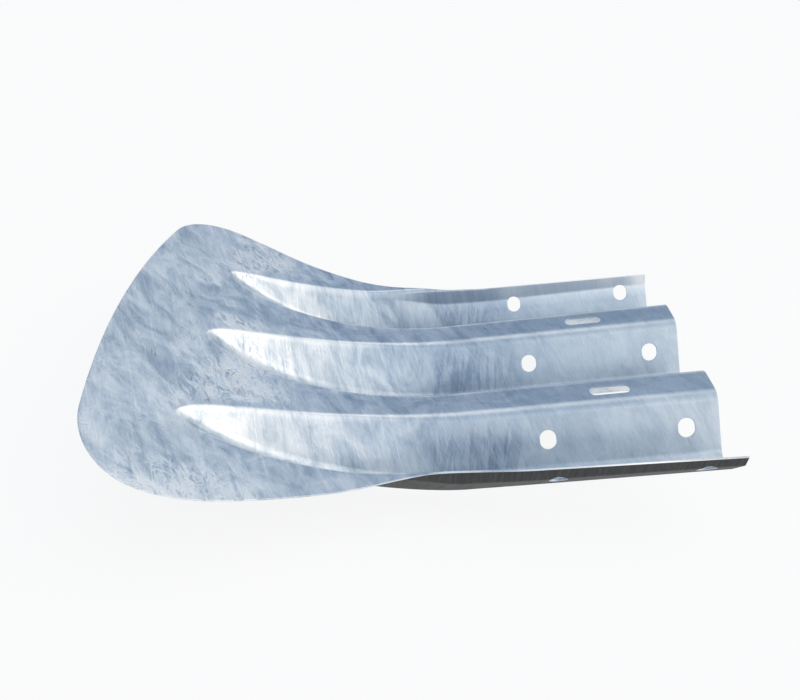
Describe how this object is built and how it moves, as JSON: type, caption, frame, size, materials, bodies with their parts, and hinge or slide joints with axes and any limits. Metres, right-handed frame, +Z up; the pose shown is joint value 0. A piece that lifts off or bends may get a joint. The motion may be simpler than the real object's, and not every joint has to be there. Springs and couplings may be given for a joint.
{
  "type": "guardrail end terminal",
  "caption": "Pressed galvanized steel guardrail end: a corrugated beam section that runs out into a wide flat tail, bent back from the traffic, with bolt holes for the beam splice and the post.",
  "frame": {"origin": "middle of the piece's bounding box, on the floor it lies on", "axes": "+X along the beam towards the cut end, +Y across the beam, +Z up, away from the floor; the piece lies on its trough bottoms with its post side up, tipped back on to the bent tail"},
  "size_m": [0.964, 0.686, 0.2057],
  "materials": {
    "galvanized_steel": "hot-dip galvanized, satin with flow marks"
  },
  "bodies": {
    "root": {"terminal_sheet": "galvanized_steel"}
  },
  "joints": []
}
